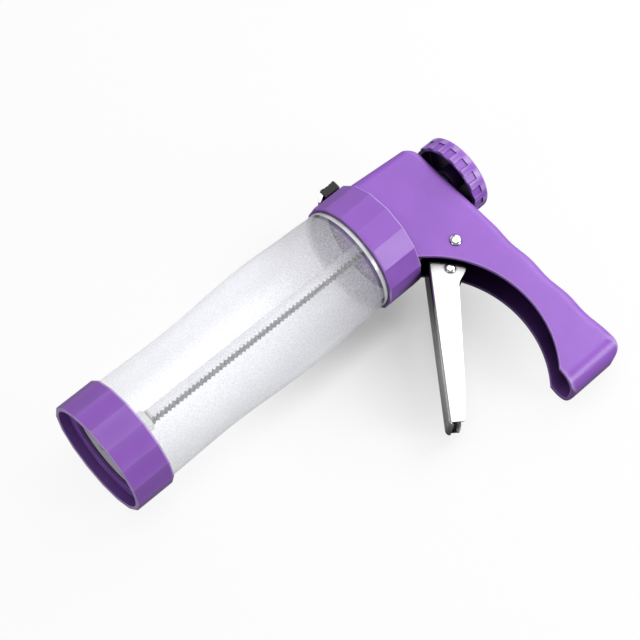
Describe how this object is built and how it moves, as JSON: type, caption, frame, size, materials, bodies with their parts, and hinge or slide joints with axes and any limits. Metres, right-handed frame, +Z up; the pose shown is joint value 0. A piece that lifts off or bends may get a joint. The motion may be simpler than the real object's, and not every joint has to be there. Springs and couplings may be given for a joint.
{
  "type": "cookie press",
  "caption": "Hand cookie press: frosted barrel between faceted rings, toothed plunger rod with a cup knob, and a pistol-grip housing with a folded steel trigger and a release tab.",
  "frame": {"origin": "centre of the underside of the bounding box, on the floor that the press lies on", "axes": "+X along the plunger rod from the nozzle to the knob, +Y from the handle towards the top of the press, +Z up, the press lying on its side on a flat of the rear ring and the tip of the handle"},
  "size_m": [0.2418, 0.1622, 0.0617],
  "materials": {
    "purple_plastic": "satin moulded",
    "frosted_plastic": "frosted clear",
    "white_plastic": "moulded",
    "silicone": "matt",
    "black_plastic": "moulded",
    "polished_steel": "polished",
    "zinc_steel": "zinc plated",
    "aluminium": "stamped",
    "spring_wire": "drawn wire"
  },
  "bodies": {
    "grip": {"housing": "purple_plastic", "rear_ring": "purple_plastic", "pivot_pin": "polished_steel", "guide_bush": "white_plastic", "drive_spring": "spring_wire", "brake_spring": "spring_wire"},
    "lever": {"trigger": "polished_steel", "pusher_arm": "zinc_steel", "near_spacer": "zinc_steel", "far_spacer": "zinc_steel", "trigger_rivet": "polished_steel"},
    "drive": {"drive_plate": "zinc_steel"},
    "brake": {"brake_plate": "polished_steel", "release_cap": "black_plastic"},
    "tube": {"barrel": "frosted_plastic"},
    "disc": {"cookie_disc": "aluminium"},
    "nozzle_ring": {"front_ring": "purple_plastic"},
    "plunger": {"piston": "white_plastic", "piston_seal": "silicone", "piston_screw": "zinc_steel"},
    "rod": {"toothed_rod": "zinc_steel", "knob": "purple_plastic", "knob_screw": "zinc_steel"}
  },
  "joints": [
    {"name": "trigger_swing", "type": "hinge", "parent": "grip", "child": "lever", "pos_m": [0.0852, 0.01392, 0.0261], "axis": [0, -0.1539, 0.9881], "range_deg": [0, 28], "stiffness_Nm_per_rad": 0.6, "springref_deg": -14.32},
    {"name": "drive_slide", "type": "slide", "parent": "grip", "child": "drive", "axis": [-1, 0, 0], "range_m": [0, 0.0105], "deforming": ["drive_spring"]},
    {"name": "brake_tilt", "type": "hinge", "parent": "grip", "child": "brake", "pos_m": [0.06065, 0.02064, 0.02714], "axis": [0, -0.1539, 0.9881], "range_deg": [0, 2.5], "stiffness_Nm_per_rad": 0.4, "springref_deg": -8.59, "deforming": ["brake_spring"]},
    {"name": "barrel_turn", "type": "hinge", "parent": "grip", "child": "tube", "pos_m": [0.0523, 0.04435, 0.03084], "axis": [1, 0, 0], "range_deg": [0, 30]},
    {"name": "disc_travel", "type": "slide", "parent": "tube", "child": "disc", "axis": [-1, 0, 0], "range_m": [0, 0.0039]},
    {"name": "ring_turn", "type": "hinge", "parent": "disc", "child": "nozzle_ring", "pos_m": [-0.1209, 0.04435, 0.03084], "axis": [-1, 0, 0], "range_deg": [0, 450]},
    {"name": "plunger_slide", "type": "slide", "parent": "grip", "child": "plunger", "axis": [1, 0, 0], "range_m": [0, 0.13]},
    {"name": "rod_turn", "type": "hinge", "parent": "plunger", "child": "rod", "pos_m": [-0.0992, 0.04435, 0.03084], "axis": [1, 0, 0], "range_deg": [0, 180]}
  ],
  "couplings": [
    {"joint": "drive_slide", "follows": "trigger_swing", "m_per_rad": 0.0213},
    {"joint": "disc_travel", "follows": "ring_turn", "m_per_rad": 0.00047746}
  ]
}
